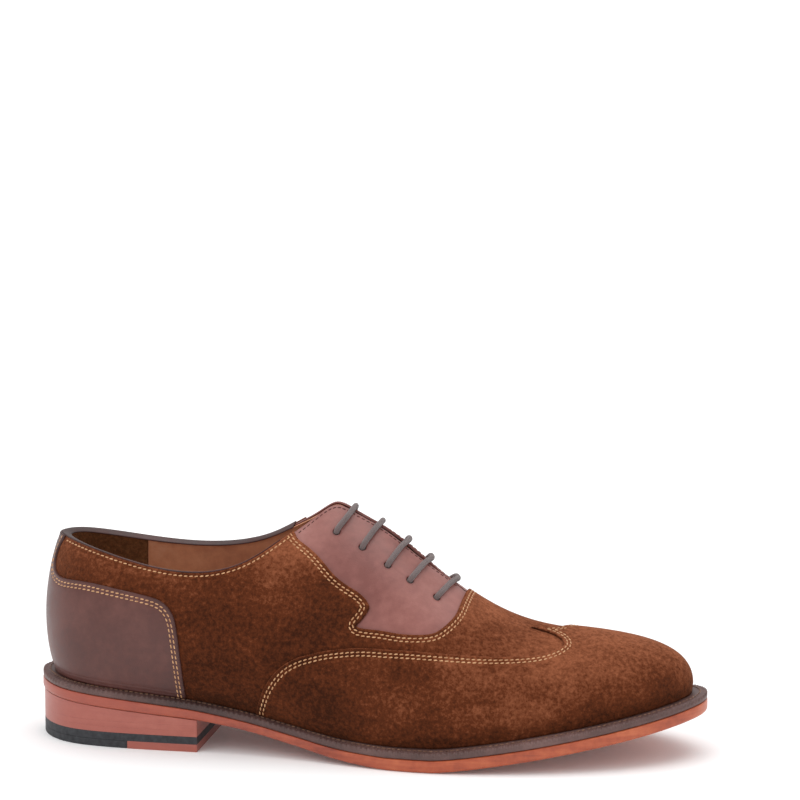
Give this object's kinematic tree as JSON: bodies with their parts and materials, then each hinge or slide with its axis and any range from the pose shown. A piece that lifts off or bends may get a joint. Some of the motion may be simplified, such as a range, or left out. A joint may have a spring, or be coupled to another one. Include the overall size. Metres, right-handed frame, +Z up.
{
  "type": "oxford shoe",
  "caption": "Right wing-cap oxford shoe in brown suede and smooth leather, closed lacing, welted leather sole and stacked heel",
  "frame": {"origin": "on the ground, at the centre of the shoe's bounding box seen from above", "axes": "+X from the heel to the toe, +Y to the inside of the foot (it is a right shoe), +Z up"},
  "size_m": [0.3006, 0.1046, 0.1072],
  "materials": {
    "suede": "napped brown suede calf",
    "smooth_leather": "smooth red-brown calf, low sheen",
    "binding_leather": "dark red-brown rolled edge",
    "lining_leather": "tan vegetable-tanned lining",
    "grip_suede": "suede lining, flesh side out",
    "stiffener_board": "pressed leatherboard",
    "waxed_cotton": "round waxed cotton lace, dark grey-brown",
    "aglet_plastic": "clear-brown lace tip",
    "welt_leather": "dark brown welting, waxed",
    "canvas": "taped canvas rib",
    "insole_leather": "undyed vegetable-tanned shoulder",
    "cork": "granulated cork in wax",
    "shank_steel": "tempered spring steel",
    "sole_leather": "orange-tan stained and burnished edge",
    "black_rubber": "solid black rubber",
    "nail_steel": "bright wire nail",
    "brass": "clenched brass brad"
  },
  "bodies": {
    "shoe": {"suede_body": "suede", "wing_cap": "suede", "heel_foxing": "smooth_leather", "facing_lateral": "smooth_leather", "facing_medial": "smooth_leather", "topline_binding": "binding_leather", "quarter_lining_lateral": "lining_leather", "quarter_lining_medial": "lining_leather", "vamp_lining": "lining_leather", "heel_grip": "grip_suede", "toe_puff": "stiffener_board", "heel_stiffener": "stiffener_board", "lace": "waxed_cotton", "aglets": "aglet_plastic", "welt": "welt_leather", "insole_rib": "canvas", "insole": "insole_leather", "sock_lining": "lining_leather", "cork_filler": "cork", "shank": "shank_steel", "outsole": "sole_leather", "heel_wedge": "sole_leather", "heel_lift_upper": "sole_leather", "heel_lift_lower": "sole_leather", "heel_rubber": "black_rubber", "toplift_rubber": "black_rubber", "toplift_leather": "sole_leather", "heel_nails": "nail_steel", "toplift_brads": "brass"},
    "tongue": {"tongue": "suede", "tongue_lining": "lining_leather"}
  },
  "joints": [
    {"name": "tongue_press", "type": "hinge", "parent": "shoe", "child": "tongue", "pos_m": [0.057, 0.0022, 0.053], "axis": [0, -1, 0], "range_deg": [0, 12]}
  ]
}
